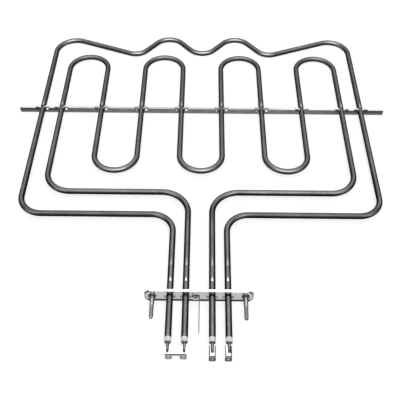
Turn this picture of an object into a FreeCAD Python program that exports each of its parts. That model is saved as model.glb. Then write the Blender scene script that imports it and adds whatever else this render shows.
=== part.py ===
import FreeCAD, Part
import math
import os
import Sketcher

# Double-loop tubular heating element for an oven ceiling.
# Frame: the origin is the middle of the flange's mounting face, in the plane of the tubes.
# +X runs along the flange, +Y from the flange to the wavy far end, +Z is up.
# The whole element is a mirror image of itself about the plane X = 0, apart from its terminals.

# Driving dimensions in millimetres and degrees: name, value, meaning
DIMENSIONS = (
    ("sheath_outer", 6.3, "outer diameter of both sheath tubes"),
    ("sheath_wall", 0.55, "wall of the sheath tubes"),
    ("coil_wire", 0.2, "thickness of the wound layer of the resistance coil"),
    ("coil_start", 36, "start of the coil, beyond the mounting face"),
    ("coil_lap", 8, "length of pin held inside the coil"),
    ("tail_length", 43.5, "sheath behind the mounting face"),
    ("outer_leg_x", 27.35, "outer loop: leg, from the middle"),
    ("outer_run_y", 99.7, "outer loop: cross run, from the mounting face"),
    ("outer_run_bend", 22.4, "outer loop: bend from leg to cross run"),
    ("side_gap", 22.5, "outer loop: side, from the inner loop's first pass"),
    ("outer_side_bend", 24.2, "outer loop: bend from cross run to side"),
    ("corner_rise", 35, "outer loop: centre of the far corner bend, beyond the inner far turns"),
    ("corner_bend", 24, "outer loop: far corner bend"),
    ("dip_gap", 4.85, "outer loop: along X between the circles of a crest and a side dip"),
    ("dip_rise", 49.55, "outer loop: centre of the side dip, beyond the inner far turns"),
    ("dip_bend", 18.1, "outer loop: side dip bend"),
    ("crest_gap", 2.8, "outer loop: along X between the circles of the middle dip and a crest"),
    ("crest_rise", 42, "outer loop: centre of the crest, beyond the inner far turns"),
    ("crest_bend", 20.6, "outer loop: crest bend"),
    ("middle_rise", 53, "outer loop: centre of the middle dip, beyond the inner far turns"),
    ("middle_bend", 19.5, "outer loop: middle dip bend"),
    ("inner_leg_x", 12.45, "inner loop: leg, from the middle"),
    ("inner_run_y", 130.6, "inner loop: cross run"),
    ("inner_run_bend", 28.5, "inner loop: bend from leg to cross run"),
    ("inner_side_bend", 27.6, "inner loop: bend from cross run to first pass"),
    ("pass_pitch", 47.5, "inner loop: distance from one pass to the next"),
    ("near_turn_y", 185.8, "inner loop: centres of the near turns"),
    ("far_turn_y", 338.3, "inner loop: centres of the far turns"),
    ("pin_dia", 2.7, "terminal pin"),
    ("pin_bare", 7.9, "pin beyond its bead"),
    ("pin_round", 0.9, "rounding of the pin tip"),
    ("bead_length", 5.6, "ceramic bead outside the sheath"),
    ("bead_dia", 6.2, "ceramic bead"),
    ("bead_round", 1.4, "rounding of the bead's outer end"),
    ("bead_plug", 4, "bead inside the sheath"),
    ("bead_fit", 0.05, "clearance of the bead round its pin and in its sheath"),
    ("flange_length", 102, "flange along X"),
    ("flange_height", 16.2, "flange along Z"),
    ("flange_thick", 2.5, "flange plate"),
    ("flange_corner", 3.8, "cut corner of the flange"),
    ("flange_edge", 0.45, "rounded edge round the mounting face"),
    ("tube_fit", 0.05, "clearance of a tube in the flange and in the support bar"),
    ("stake_width", 1.6, "punch mark that locks a tube in the flange"),
    ("stake_height", 3, "punch mark along Z"),
    ("stake_depth", 0.5, "depth of a punch mark"),
    ("stake_gap", 0.9, "metal between a tube's hole and a punch mark"),
    ("stud_inset", 7.25, "stud, from the end of the flange"),
    ("stud_dia", 3.9, "threaded part of the stud"),
    ("stud_reach", 24.5, "stud tip behind the mounting face"),
    ("stud_lead", 1.8, "tapered tip of the stud"),
    ("stud_lead_dia", 1.6, "end of the tapered tip"),
    ("stud_shoulder", 8.8, "plain part of the stud, from the mounting face"),
    ("stud_shoulder_dia", 4.7, "plain part of the stud"),
    ("stud_shoulder_taper", 1.2, "cone from the plain part to the thread"),
    ("stud_neck_dia", 4.4, "part of the stud inside the flange"),
    ("stud_collar", 0.6, "collar of the stud"),
    ("stud_collar_dia", 7.5, "collar of the stud"),
    ("stud_rivet", 0.9, "riveted head of the stud behind the flange"),
    ("stud_rivet_dia", 6.4, "riveted head of the stud"),
    ("stud_fit", 0.03, "clearance of the stud in the flange"),
    ("earth_sheet", 0.8, "sheet of the earth tab"),
    ("earth_blade_x", 0.7, "earth tab: outer face of the blade"),
    ("earth_foot", 7.4, "earth tab: foot along X"),
    ("earth_foot_height", 10, "earth tab: foot along Z"),
    ("earth_lift", 0.5, "earth tab: middle of the foot above the tubes' plane"),
    ("earth_foot_corner", 1.6, "earth tab: cut corner of the foot"),
    ("earth_carrier", 30.5, "earth tab: blade up to its shoulder"),
    ("earth_carrier_height", 8, "earth tab: blade before its shoulder"),
    ("earth_tab_length", 8.5, "earth tab: push-on part beyond the shoulder"),
    ("weld_dia", 3.6, "spot weld mark"),
    ("weld_depth", 0.25, "depth of the spot weld mark"),
    ("tab_width", 6.3, "push-on tab"),
    ("tab_hole", 1.8, "locking hole of a push-on tab"),
    ("tab_tip", 1.1, "cut corner of a push-on tab"),
    ("tab_hole_inset", 4.2, "locking hole from the tip"),
    ("terminal_sheet", 0.8, "sheet of the pin terminals"),
    ("terminal_gap", 2.5, "terminals: bare pin between the bead and the terminal"),
    ("terminal_drop", 9, "terminals: height of the turned-down tab"),
    ("weld_gap", 0.02, "weld line between a pin and its terminal"),
    ("bend_round", 1.2, "terminals: outside of the folded edge"),
    ("strap_depth", 7.9, "bridge strap: along the pins"),
    ("strap_margin", 2.3, "bridge strap: metal beyond each pin"),
    ("strap_lip", 2.4, "bridge strap: folded lip between its tabs"),
    ("channel_width", 5.8, "channel terminals: outer width"),
    ("channel_wall", 2.6, "channel terminals: height of the wall beside the pin"),
    ("channel_wall_length", 5.2, "channel terminals: length of the high wall"),
    ("channel_low_wall", 0.9, "channel terminals: height of the low wall"),
    ("channel_low_length", 1.2, "channel terminals: length of the low wall"),
    ("channel_slope", 1.6, "channel terminals: slope from the high to the low wall"),
    ("channel_apron", 1.5, "channel terminals: flat floor in front of the walls"),
    ("neck_width", 4.6, "channel terminals: neck above the tab"),
    ("neck_height", 2.2, "channel terminals: neck along Z"),
    ("neck_slope", 0.9, "channel terminals: slope from the neck to the tab"),
    ("outer_shift", 0.6, "outer terminal: offset of the channel from its pin"),
    ("bar_overhang", 26.75, "support bar beyond the outer loop's centre line"),
    ("bar_y", 262, "support bar: middle of its thickness"),
    ("bar_thick", 3, "support bar"),
    ("bar_top", 2.65, "support bar: upper edge above the tubes' plane"),
    ("bar_bottom", 4.2, "support bar: lower edge below the tubes' plane"),
    ("bar_corner", 1.2, "support bar: rounded lower corner"),
    ("ear_x", 5.6, "support bar: centre of an ear, from its tube"),
    ("ear_z", 1, "support bar: centre of an ear above the tubes' plane"),
    ("ear_round", 3.3, "support bar: radius of an ear"),
    ("punch_x", 6, "support bar: punch mark, from its tube"),
    ("punch_z", 1.2, "support bar: punch mark above the tubes' plane"),
    ("punch_dia", 2.7, "support bar: rim of a punch mark"),
    ("punch_tip_dia", 0.9, "support bar: bottom of a punch mark"),
    ("punch_depth", 0.9, "support bar: punch mark"),
    ("throat_width", 4.6, "support bar: mouth between two closed ears"),
)

SHEET_NAME = "Sizes"
PARTS_FOLDER = "parts"
PASSES = 8
LARGEST_ROUND = 0.9

doc = FreeCAD.newDocument("HeatingElement")


def fill_sheet():
    """The spreadsheet of driving dimensions, one row for each."""
    table = doc.addObject("Spreadsheet::Sheet", SHEET_NAME)
    for row, (alias, value, meaning) in enumerate(DIMENSIONS, start=1):
        table.set(f"A{row}", meaning)
        table.set(f"B{row}", str(value))
        table.setAlias(f"B{row}", alias)
    doc.recompute()
    return table


sheet = fill_sheet()


class Size:
    """A length together with the sheet formula that gives it."""

    def __init__(self, value, formula):
        self.value = value
        self.formula = formula

    def __add__(self, other):
        other = as_size(other)
        return Size(self.value + other.value, f"({self.formula} + {other.formula})")

    def __sub__(self, other):
        other = as_size(other)
        return Size(self.value - other.value, f"({self.formula} - {other.formula})")

    def __mul__(self, factor):
        return Size(self.value * factor, f"({self.formula} * {factor})")

    def __neg__(self):
        return self * -1

    def __truediv__(self, factor):
        return Size(self.value / factor, f"({self.formula} / {factor})")


def as_size(number):
    """A plain number as a size, and a size as it is."""
    if isinstance(number, Size):
        return number
    return Size(float(number), str(number))


def dim(alias):
    """The driving dimension of that name."""
    return Size(float(sheet.get(alias)), f"{SHEET_NAME}.{alias}")


def smaller(a, b):
    """The smaller of two sizes."""
    return Size(min(a.value, b.value), f"min({a.formula}; {b.formula})")


ZERO = as_size(0)


def bind(owner, prop, size):
    """Ties a property of a document object to the sheet."""
    owner.setExpression(prop, size.formula)


def origin_part(body, role):
    """A plane or axis of the body's own origin."""
    for feature in body.Origin.OriginFeatures:
        if feature.Role == role:
            return feature
    raise ValueError(role)


def new_body(name):
    body = doc.addObject("PartDesign::Body", name + "_body")
    body.Label = name
    return body


def new_sketch(body, name, role, offset=None):
    """A sketch on an origin plane, moved along the plane's normal by offset."""
    sketch = body.newObject("Sketcher::SketchObject", name)
    sketch.AttachmentSupport = [(origin_part(body, role), "")]
    sketch.MapMode = "FlatFace"
    if offset is not None:
        bind(sketch, "AttachmentOffset.Base.z", offset)
    return sketch


def constrain(sketch, kind, *details, size=None):
    """Adds a constraint; size, where given, is its value in the sheet."""
    if size is None:
        return sketch.addConstraint(Sketcher.Constraint(kind, *details))
    index = sketch.addConstraint(Sketcher.Constraint(kind, *details, size.value))
    bind(sketch, f"Constraints[{index}]", size)
    return index


START = 1
END = 2
CENTRE = 3
VERTICAL_AXIS = -2
PARALLEL = 0.999
SAME_PLACE = 0.0001
DEPTH = FreeCAD.Vector(0, 1, 0)


def place_point(sketch, geometry, point, x, y):
    constrain(sketch, "DistanceX", geometry, point, size=x)
    constrain(sketch, "DistanceY", geometry, point, size=y)


def draw_outline(sketch, corners):
    """A closed outline of straight lines through corners, each a pair of sizes."""
    first = sketch.GeometryCount
    count = len(corners)
    points = [FreeCAD.Vector(x.value, y.value, 0) for x, y in corners]
    for i in range(count):
        sketch.addGeometry(Part.LineSegment(points[i], points[(i + 1) % count]), False)
    for i in range(count):
        constrain(sketch, "Coincident", first + i, END, first + (i + 1) % count, START)
    for i, (x, y) in enumerate(corners):
        place_point(sketch, first + i, START, x, y)


def draw_box(sketch, x_low, x_high, y_low, y_high):
    draw_outline(sketch, [(x_low, y_low), (x_high, y_low), (x_high, y_high), (x_low, y_high)])


def draw_circle(sketch, x, y, radius):
    centre = FreeCAD.Vector(x.value, y.value, 0)
    circle = sketch.addGeometry(Part.Circle(centre, FreeCAD.Vector(0, 0, 1), radius.value), False)
    constrain(sketch, "Radius", circle, size=radius)
    place_point(sketch, circle, CENTRE, x, y)


def pad(body, sketch, name, length, reverse=False, symmetric=False):
    feature = body.newObject("PartDesign::Pad", name)
    feature.Profile = sketch
    if symmetric:
        feature.SideType = "Symmetric"
    feature.Reversed = reverse
    bind(feature, "Length", length)
    return feature


def pocket(body, sketch, name, length, reverse=False, symmetric=False):
    feature = body.newObject("PartDesign::Pocket", name)
    feature.Profile = sketch
    if symmetric:
        feature.SideType = "Symmetric"
    feature.Reversed = reverse
    bind(feature, "Length", length)
    return feature


def edges_at(shape, wanted, along=None):
    """Names of the edges whose ends both pass the test, and that run along a direction if given."""
    names = []
    for i, edge in enumerate(shape.Edges, start=1):
        ends = [vertex.Point for vertex in edge.Vertexes]
        if len(ends) != 2 or not all(wanted(point) for point in ends):
            continue
        if along is None or abs((ends[1] - ends[0]).normalize() * along) > PARALLEL:
            names.append(f"Edge{i}")
    return names


def near(a, b):
    """Whether two places are the same."""
    return abs(a - b) < SAME_PLACE


def edges_on_circle(shape, radius, y):
    """Names of the round edges of that radius about the Y axis at height y."""
    names = []
    for i, edge in enumerate(shape.Edges, start=1):
        round_edge = isinstance(edge.Curve, Part.Circle)
        if round_edge and near(edge.Curve.Radius, radius) and near(edge.Curve.Center.y, y):
            names.append(f"Edge{i}")
    return names


def dress(body, kind, name, base, edge_names, prop, size):
    """A fillet or chamfer on named edges of a feature."""
    feature = body.newObject(f"PartDesign::{kind}", name)
    feature.Base = (base, edge_names)
    bind(feature, prop, size)
    return feature


# Centre lines of the two loops

LEFT_TURN = 1
RIGHT_TURN = -1


# Places that several pieces share
first_pass_x = dim("pass_pitch") * ((PASSES - 1) / 2)
outer_side_x = first_pass_x + dim("side_gap")
stud_x = dim("flange_length") / 2 - dim("stud_inset")
sheath_end = -dim("tail_length")
bead_end = sheath_end - dim("bead_length")
terminal_back = bead_end - dim("terminal_gap")


def outer_bends():
    """Bends of half the outer loop, from the leg to the middle: centre, radius and turn."""
    leg = dim("outer_leg_x")
    run = dim("outer_run_y")
    side = outer_side_x
    far = dim("far_turn_y")
    crest_x = dim("middle_bend") + dim("crest_gap") + dim("crest_bend")
    dip_x = crest_x + dim("crest_bend") + dim("dip_gap") + dim("dip_bend")
    return [
        (leg + dim("outer_run_bend"), run - dim("outer_run_bend"), dim("outer_run_bend"), RIGHT_TURN),
        (side - dim("outer_side_bend"), run + dim("outer_side_bend"), dim("outer_side_bend"), LEFT_TURN),
        (side - dim("corner_bend"), far + dim("corner_rise"), dim("corner_bend"), LEFT_TURN),
        (dip_x, far + dim("dip_rise"), dim("dip_bend"), RIGHT_TURN),
        (crest_x, far + dim("crest_rise"), dim("crest_bend"), LEFT_TURN),
        (ZERO, far + dim("middle_rise"), dim("middle_bend"), RIGHT_TURN),
    ]


def inner_bends():
    """Bends of half the inner loop: two bends beside the leg, then a turn after each pass."""
    leg = dim("inner_leg_x")
    run = dim("inner_run_y")
    pitch = dim("pass_pitch")
    bends = [
        (leg + dim("inner_run_bend"), run - dim("inner_run_bend"), dim("inner_run_bend"), RIGHT_TURN),
        (first_pass_x - dim("inner_side_bend"), run + dim("inner_side_bend"), dim("inner_side_bend"), LEFT_TURN),
    ]
    for turn in range(PASSES // 2):
        centre_x = pitch * (PASSES // 2 - 1 - turn)
        if turn % 2 == 0:
            bends.append((centre_x, dim("far_turn_y"), pitch / 2, LEFT_TURN))
        else:
            bends.append((centre_x, dim("near_turn_y"), pitch / 2, RIGHT_TURN))
    return bends


def travel_angle(first, second):
    """Heading of the straight run that leaves one bend and enters the next."""
    dx = second[0].value - first[0].value
    dy = second[1].value - first[1].value
    offset = second[3] * second[2].value - first[3] * first[2].value
    return math.atan2(dy, dx) - math.asin(offset / math.hypot(dx, dy))


def point_on_bend(bend, heading):
    """The point of a bend where the tube has that heading."""
    x, y, radius, turn = bend
    return FreeCAD.Vector(
        x.value + turn * radius.value * math.sin(heading),
        y.value - turn * radius.value * math.cos(heading),
        0,
    )


def draw_route(body, name, bends, start):
    """Half a loop's centre line, from a point of the leg to the middle of the last bend."""
    sketch = new_sketch(body, name, "XY_Plane")
    up = math.pi / 2
    headings = [up] + [travel_angle(bends[i], bends[i + 1]) for i in range(len(bends) - 1)]
    leg_foot = point_on_bend(bends[0], up)
    previous = FreeCAD.Vector(leg_foot.x, start.value, 0)
    for i, bend in enumerate(bends):
        x, y, radius, turn = bend
        entry = point_on_bend(bend, headings[i])
        last = i + 1 == len(bends)
        leave = point_on_bend(bend, math.pi if last else headings[i + 1])
        line = sketch.addGeometry(Part.LineSegment(previous, entry), False)
        centre = FreeCAD.Vector(x.value, y.value, 0)
        first, second = (entry, leave) if turn == LEFT_TURN else (leave, entry)
        angles = [math.atan2(p.y - centre.y, p.x - centre.x) for p in (first, second)]
        circle = Part.Circle(centre, FreeCAD.Vector(0, 0, 1), radius.value)
        arc = sketch.addGeometry(Part.ArcOfCircle(circle, angles[0], angles[1]), False)
        entry_end, leave_end = (START, END) if turn == LEFT_TURN else (END, START)
        constrain(sketch, "Radius", arc, size=radius)
        place_point(sketch, arc, CENTRE, x, y)
        constrain(sketch, "Tangent", line, END, arc, entry_end)
        if i == 0:
            constrain(sketch, "Vertical", line)
            constrain(sketch, "DistanceY", line, START, size=start)
        else:
            constrain(sketch, "Tangent", before, before_end, line, START)
        if last:
            constrain(sketch, "PointOnObject", arc, leave_end, VERTICAL_AXIS)
        before, before_end, previous = arc, leave_end, leave
    return sketch


def sweep_half(body, name, bends, leg_x, start, outer, inner=None):
    """A round section swept along half a loop, hollow where inner is given."""
    route = draw_route(body, name + "_route", bends, start)
    section = new_sketch(body, name + "_section", "XZ_Plane", -start)
    draw_circle(section, leg_x, ZERO, outer / 2)
    if inner is not None:
        draw_circle(section, leg_x, ZERO, inner / 2)
    pipe = body.newObject("PartDesign::AdditivePipe", name + "_sweep")
    pipe.Profile = section
    pipe.Spine = (route, [f"Edge{i + 1}" for i in range(route.GeometryCount)])
    return pipe


def mirror_half(body, features):
    """The second half of a loop."""
    doc.recompute()
    both = body.newObject("PartDesign::Mirrored", body.Label + "_both_halves")
    both.Originals = features
    both.MirrorPlane = (origin_part(body, "YZ_Plane"), [""])
    body.Tip = both


# Each loop, from the outside in

LOOPS = (
    ("outer", outer_bends, "outer_leg_x"),
    ("inner", inner_bends, "inner_leg_x"),
)

sheath_inner = dim("sheath_outer") - dim("sheath_wall") * 2
coil_inner = dim("pin_dia")
coil_outer = coil_inner + dim("coil_wire") * 2
pin_inner_end = dim("coil_start") + dim("coil_lap")


def make_sheath(loop, bends, leg_x):
    """The bent steel tube."""
    body = new_body(loop + "_sheath")
    tube = sweep_half(body, "tube", bends, leg_x, sheath_end, dim("sheath_outer"), sheath_inner)
    mirror_half(body, [tube])
    return body


def make_insulation(loop, bends, leg_x):
    """The packed powder: round the pin, round the coil and inside the coil."""
    body = new_body(loop + "_insulation")
    powder_start = sheath_end + dim("bead_plug")
    section = new_sketch(body, "pin_jacket_section", "XZ_Plane", -powder_start)
    draw_circle(section, leg_x, ZERO, sheath_inner / 2)
    draw_circle(section, leg_x, ZERO, dim("pin_dia") / 2)
    jacket = pad(body, section, "pin_jacket", dim("coil_start") - powder_start, reverse=True)
    around = sweep_half(body, "coil_jacket", bends, leg_x, dim("coil_start"), sheath_inner, coil_outer)
    core = sweep_half(body, "coil_core", bends, leg_x, pin_inner_end, coil_inner)
    mirror_half(body, [jacket, around, core])
    return body


def make_coil(loop, bends, leg_x):
    """The resistance coil as the thin sleeve that its close turns fill."""
    body = new_body(loop + "_coil")
    sleeve = sweep_half(body, "winding", bends, leg_x, dim("coil_start"), coil_outer, coil_inner)
    mirror_half(body, [sleeve])
    return body


def turned_body(name, profile, x, side):
    """A turned piece whose axis lies along Y, at x on one side; profile is (radius, y) pairs."""
    body = new_body(name)
    sketch = new_sketch(body, "profile", "XY_Plane")
    draw_outline(sketch, profile)
    turning = body.newObject("PartDesign::Revolution", "turning")
    turning.Profile = sketch
    turning.ReferenceAxis = (sketch, ["V_Axis"])
    bind(body, "Placement.Base.x", x * side)
    doc.recompute()
    return body, turning


def make_pin(name, leg_x, side):
    """A terminal pin with a rounded tip."""
    radius = dim("pin_dia") / 2
    tip = bead_end - dim("pin_bare")
    profile = [(ZERO, tip), (radius, tip), (radius, pin_inner_end), (ZERO, pin_inner_end)]
    body, turning = turned_body(name, profile, leg_x, side)
    rim = edges_on_circle(turning.Shape, radius.value, tip.value)
    dome = smaller(dim("pin_round"), radius * LARGEST_ROUND)
    dress(body, "Fillet", "tip", turning, rim, "Radius", dome)
    return body


def make_bead(name, leg_x, side):
    """A ceramic bead: a head as wide as the sheath and a plug inside it."""
    head = dim("bead_dia") / 2
    plug = sheath_inner / 2 - dim("bead_fit")
    bore = dim("pin_dia") / 2 + dim("bead_fit")
    inner_end = sheath_end + dim("bead_plug")
    profile = [
        (bore, bead_end),
        (head, bead_end),
        (head, sheath_end),
        (plug, sheath_end),
        (plug, inner_end),
        (bore, inner_end),
    ]
    body, turning = turned_body(name, profile, leg_x, side)
    rim = edges_on_circle(turning.Shape, head.value, bead_end.value)
    dome = smaller(dim("bead_round"), (head - bore) * LARGEST_ROUND)
    dress(body, "Fillet", "dome", turning, rim, "Radius", dome)
    return body


# Flange with its studs and earth tab


def make_flange():
    """A punched plate with holes for four tubes and two studs, staked beside each tube."""
    body = new_body("flange_plate")
    half_length = dim("flange_length") / 2
    half_height = dim("flange_height") / 2
    outline = new_sketch(body, "outline", "XZ_Plane")
    draw_box(outline, -half_length, half_length, -half_height, half_height)
    plate = pad(body, outline, "plate", dim("flange_thick"), reverse=True)
    doc.recompute()
    corners = edges_at(plate.Shape, lambda point: True, DEPTH)
    cut = dress(body, "Chamfer", "cut_corners", plate, corners, "Size", dim("flange_corner"))
    doc.recompute()
    rim = edges_at(cut.Shape, lambda point: near(point.y, 0))
    dress(body, "Fillet", "punched_edge", cut, rim, "Radius", dim("flange_edge"))

    tube_hole = dim("sheath_outer") / 2 + dim("tube_fit")
    holes = new_sketch(body, "holes", "XZ_Plane")
    marks = new_sketch(body, "stake_marks", "XZ_Plane")
    mark_near = tube_hole + dim("stake_gap")
    for side in (-1, 1):
        draw_circle(holes, stud_x * side, ZERO, dim("stud_neck_dia") / 2 + dim("stud_fit"))
        for leg in ("outer_leg_x", "inner_leg_x"):
            x = dim(leg) * side
            draw_circle(holes, x, ZERO, tube_hole)
            for beside in (-1, 1):
                low = x + mark_near * beside
                high = low + dim("stake_width") * beside
                draw_box(marks, low, high, -dim("stake_height") / 2, dim("stake_height") / 2)
    pocket(body, holes, "tube_and_stud_holes", dim("flange_thick"))
    pocket(body, marks, "stakes", dim("stake_depth"))
    return body


def make_stud(name, side):
    """A riveted stud: head behind the plate, collar, plain shoulder, threaded length, tapered tip."""
    core = dim("stud_dia") / 2
    neck = dim("stud_neck_dia") / 2
    shoulder = dim("stud_shoulder_dia") / 2
    collar = dim("stud_collar_dia") / 2
    head = dim("stud_rivet_dia") / 2
    lead = dim("stud_lead_dia") / 2
    back = dim("flange_thick")
    tip = -dim("stud_reach")
    profile = [
        (ZERO, tip),
        (lead, tip),
        (core, tip + dim("stud_lead")),
        (core, -dim("stud_shoulder") - dim("stud_shoulder_taper")),
        (shoulder, -dim("stud_shoulder")),
        (shoulder, -dim("stud_collar")),
        (collar, -dim("stud_collar")),
        (collar, ZERO),
        (neck, ZERO),
        (neck, back),
        (head, back),
        (head, back + dim("stud_rivet")),
        (ZERO, back + dim("stud_rivet")),
    ]
    body, turning = turned_body(name, profile, stud_x, side)
    rim = edges_on_circle(turning.Shape, head.value, (back + dim("stud_rivet")).value)
    dress(body, "Chamfer", "peened_rim", turning, rim, "Size", dim("stud_rivet") / 2)
    return body


def make_earth_tab():
    """An angle of sheet: a foot welded to the flange and a long blade that ends in a push-on tab."""
    body = new_body("earth_tab")
    sheet_thick = dim("earth_sheet")
    lift = dim("earth_lift")
    right = dim("earth_blade_x")
    half_foot = dim("earth_foot_height") / 2
    foot_outline = new_sketch(body, "foot_outline", "XZ_Plane")
    draw_box(foot_outline, right - dim("earth_foot"), right, lift - half_foot, lift + half_foot)
    foot = pad(body, foot_outline, "foot", sheet_thick)

    half_carrier = dim("earth_carrier_height") / 2
    half_tab = dim("tab_width") / 2
    shoulder = -dim("earth_carrier")
    tip = shoulder - dim("earth_tab_length")
    cut = dim("tab_tip")
    blade_outline = new_sketch(body, "blade_outline", "YZ_Plane", right)
    draw_outline(blade_outline, [
        (ZERO, lift - half_carrier),
        (ZERO, lift + half_carrier),
        (shoulder, lift + half_carrier),
        (shoulder, lift + half_tab),
        (tip + cut, lift + half_tab),
        (tip, lift + half_tab - cut),
        (tip, lift - half_tab + cut),
        (tip + cut, lift - half_tab),
        (shoulder, lift - half_tab),
        (shoulder, lift - half_carrier),
    ])
    blade = pad(body, blade_outline, "blade", sheet_thick, reverse=True)
    hole_place = new_sketch(body, "locking_hole_place", "YZ_Plane", right)
    draw_circle(hole_place, tip + dim("tab_hole_inset"), lift, dim("tab_hole") / 2)
    pocket(body, hole_place, "locking_hole", sheet_thick)
    weld_place = new_sketch(body, "weld_place", "XZ_Plane", sheet_thick)
    draw_circle(weld_place, right - sheet_thick - (dim("earth_foot") - sheet_thick) / 2, lift, dim("weld_dia") / 2)
    mark = pocket(body, weld_place, "weld_mark", dim("weld_depth"))
    doc.recompute()
    far = (right - dim("earth_foot")).value
    corners = edges_at(mark.Shape, lambda point: near(point.x, far), DEPTH)
    dress(body, "Chamfer", "foot_corners", mark, corners, "Size", dim("earth_foot_corner"))
    return body


# Pin terminals

floor_top = -dim("pin_dia") / 2 - dim("weld_gap")
floor_bottom = floor_top - dim("terminal_sheet")
tab_bottom = floor_top - dim("terminal_drop")


def round_fold(body, feature, front):
    """Rounds the outside of the fold between a terminal's floor and its turned-down tab."""
    doc.recompute()
    top = floor_top.value
    fold = edges_at(feature.Shape, lambda point: near(point.y, front.value) and near(point.z, top))
    dress(body, "Fillet", "fold", feature, fold, "Radius", dim("bend_round"))


def cut_tab_tips(body, feature, name):
    """Cuts the lower corners of turned-down tabs."""
    doc.recompute()
    corners = edges_at(feature.Shape, lambda point: near(point.z, tab_bottom.value), DEPTH)
    return dress(body, "Chamfer", name, feature, corners, "Size", dim("tab_tip"))


def make_bridge_strap():
    """A folded strap that joins the two left pins, with a turned-down tab below each."""
    body = new_body("bridge_strap")
    back = terminal_back
    front = back - dim("strap_depth")
    thick = dim("terminal_sheet")
    left = -dim("outer_leg_x") - dim("strap_margin")
    right = dim("strap_margin") - dim("inner_leg_x")
    section = new_sketch(body, "section", "YZ_Plane", left)
    draw_outline(section, [
        (back, floor_top),
        (front, floor_top),
        (front, tab_bottom),
        (front + thick, tab_bottom),
        (front + thick, floor_bottom),
        (back, floor_bottom),
    ])
    folded = pad(body, section, "folded_sheet", right - left)
    gap = new_sketch(body, "gap_outline", "XZ_Plane", -(front + thick))
    draw_box(gap, left + dim("tab_width"), right - dim("tab_width"), tab_bottom, floor_top - dim("strap_lip"))
    pocket(body, gap, "gap_between_tabs", thick, reverse=True)
    holes = new_sketch(body, "locking_hole_places", "XZ_Plane", -(front + thick))
    for x in (left + dim("tab_width") / 2, right - dim("tab_width") / 2):
        draw_circle(holes, x, tab_bottom + dim("tab_hole_inset"), dim("tab_hole") / 2)
    drilled = pocket(body, holes, "locking_holes", thick, reverse=True)
    tips = cut_tab_tips(body, drilled, "tab_tips")
    round_fold(body, tips, front)
    return body


def make_channel_terminal(name, centre):
    """A channel welded round a pin, with one turned-down tab below a narrow neck."""
    body = new_body(name)
    back = terminal_back
    thick = dim("terminal_sheet")
    half_channel = dim("channel_width") / 2
    half_tab = dim("tab_width") / 2
    high = floor_top + dim("channel_wall")
    low = floor_top + dim("channel_low_wall")
    high_end = back - dim("channel_wall_length")
    low_start = high_end - dim("channel_slope")
    wall_end = low_start - dim("channel_low_length")
    front = wall_end - dim("channel_apron")
    section = new_sketch(body, "side_view", "YZ_Plane", centre - half_channel)
    draw_outline(section, [
        (back, floor_bottom),
        (back, high),
        (high_end, high),
        (low_start, low),
        (wall_end, low),
        (wall_end, floor_top),
        (front, floor_top),
        (front, floor_bottom),
    ])
    pad(body, section, "walls_and_floor", dim("channel_width"))
    trough = new_sketch(body, "trough_outline", "XZ_Plane", -wall_end)
    draw_box(trough, centre - half_channel + thick, centre + half_channel - thick, floor_top, high)
    pocket(body, trough, "trough", back - wall_end)

    neck = dim("neck_width") / 2
    neck_end = floor_top - dim("neck_height")
    tab_top = neck_end - dim("neck_slope")
    tab_outline = new_sketch(body, "tab_outline", "XZ_Plane", -(front + thick))
    draw_outline(tab_outline, [
        (centre - half_channel, floor_top),
        (centre + half_channel, floor_top),
        (centre + neck, neck_end),
        (centre + half_tab, tab_top),
        (centre + half_tab, tab_bottom),
        (centre - half_tab, tab_bottom),
        (centre - half_tab, tab_top),
        (centre - neck, neck_end),
    ])
    pad(body, tab_outline, "tab", thick)
    hole = new_sketch(body, "locking_hole_place", "XZ_Plane", -(front + thick))
    draw_circle(hole, centre, tab_bottom + dim("tab_hole_inset"), dim("tab_hole") / 2)
    drilled = pocket(body, hole, "locking_hole", thick, reverse=True)
    tips = cut_tab_tips(body, drilled, "tab_tips")
    round_fold(body, tips, front)
    return body


# Support bar


def punch_mark(body, name, x, face, inward):
    """A conical dent in one face of the bar, where a round punch spread the metal towards the tube."""
    rim = new_sketch(body, name + "_rim", "XZ_Plane", -face)
    draw_circle(rim, x, dim("punch_z"), dim("punch_dia") / 2)
    tip = new_sketch(body, name + "_tip", "XZ_Plane", -(face + dim("punch_depth") * inward))
    draw_circle(tip, x, dim("punch_z"), dim("punch_tip_dia") / 2)
    mark = body.newObject("PartDesign::SubtractiveLoft", name)
    mark.Profile = rim
    mark.Sections = [tip]
    return mark


def staked_seat(body, name, x):
    """Ears, seat and punch marks for one tube at x."""
    middle = -dim("bar_y")
    half_bar = dim("bar_thick") / 2
    ears_outline = new_sketch(body, name + "_ears_outline", "XZ_Plane", middle)
    seat_outline = new_sketch(body, name + "_seat_outline", "XZ_Plane", middle)
    mouth_outline = new_sketch(body, name + "_mouth_outline", "XZ_Plane", middle)
    for beside in (-1, 1):
        draw_circle(ears_outline, x + dim("ear_x") * beside, dim("ear_z"), dim("ear_round"))
    draw_circle(seat_outline, x, ZERO, dim("sheath_outer") / 2 + dim("tube_fit"))
    half_mouth = dim("throat_width") / 2
    above = dim("ear_z") + dim("ear_round")
    draw_box(mouth_outline, x - half_mouth, x + half_mouth, ZERO, above)
    features = [pad(body, ears_outline, name + "_ears", dim("bar_thick"), symmetric=True)]
    features.append(pocket(body, seat_outline, name + "_seat", dim("bar_thick"), symmetric=True))
    features.append(pocket(body, mouth_outline, name + "_mouth", dim("bar_thick"), symmetric=True))
    for side, beside in (("left", -1), ("right", 1)):
        place = x + dim("punch_x") * beside
        for word, inward in (("front", 1), ("back", -1)):
            face = dim("bar_y") - half_bar * inward
            features.append(punch_mark(body, f"{name}_{side}_{word}_mark", place, face, inward))
    return features


def repeat_along_bar(body, name, features, span, count):
    doc.recompute()
    row = body.newObject("PartDesign::LinearPattern", name)
    row.Originals = features
    row.Direction = (origin_part(body, "X_Axis"), [""])
    row.Mode = "Extent"
    bind(row, "Length", span)
    row.Occurrences = count
    body.Tip = row
    doc.recompute()
    return row


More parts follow.
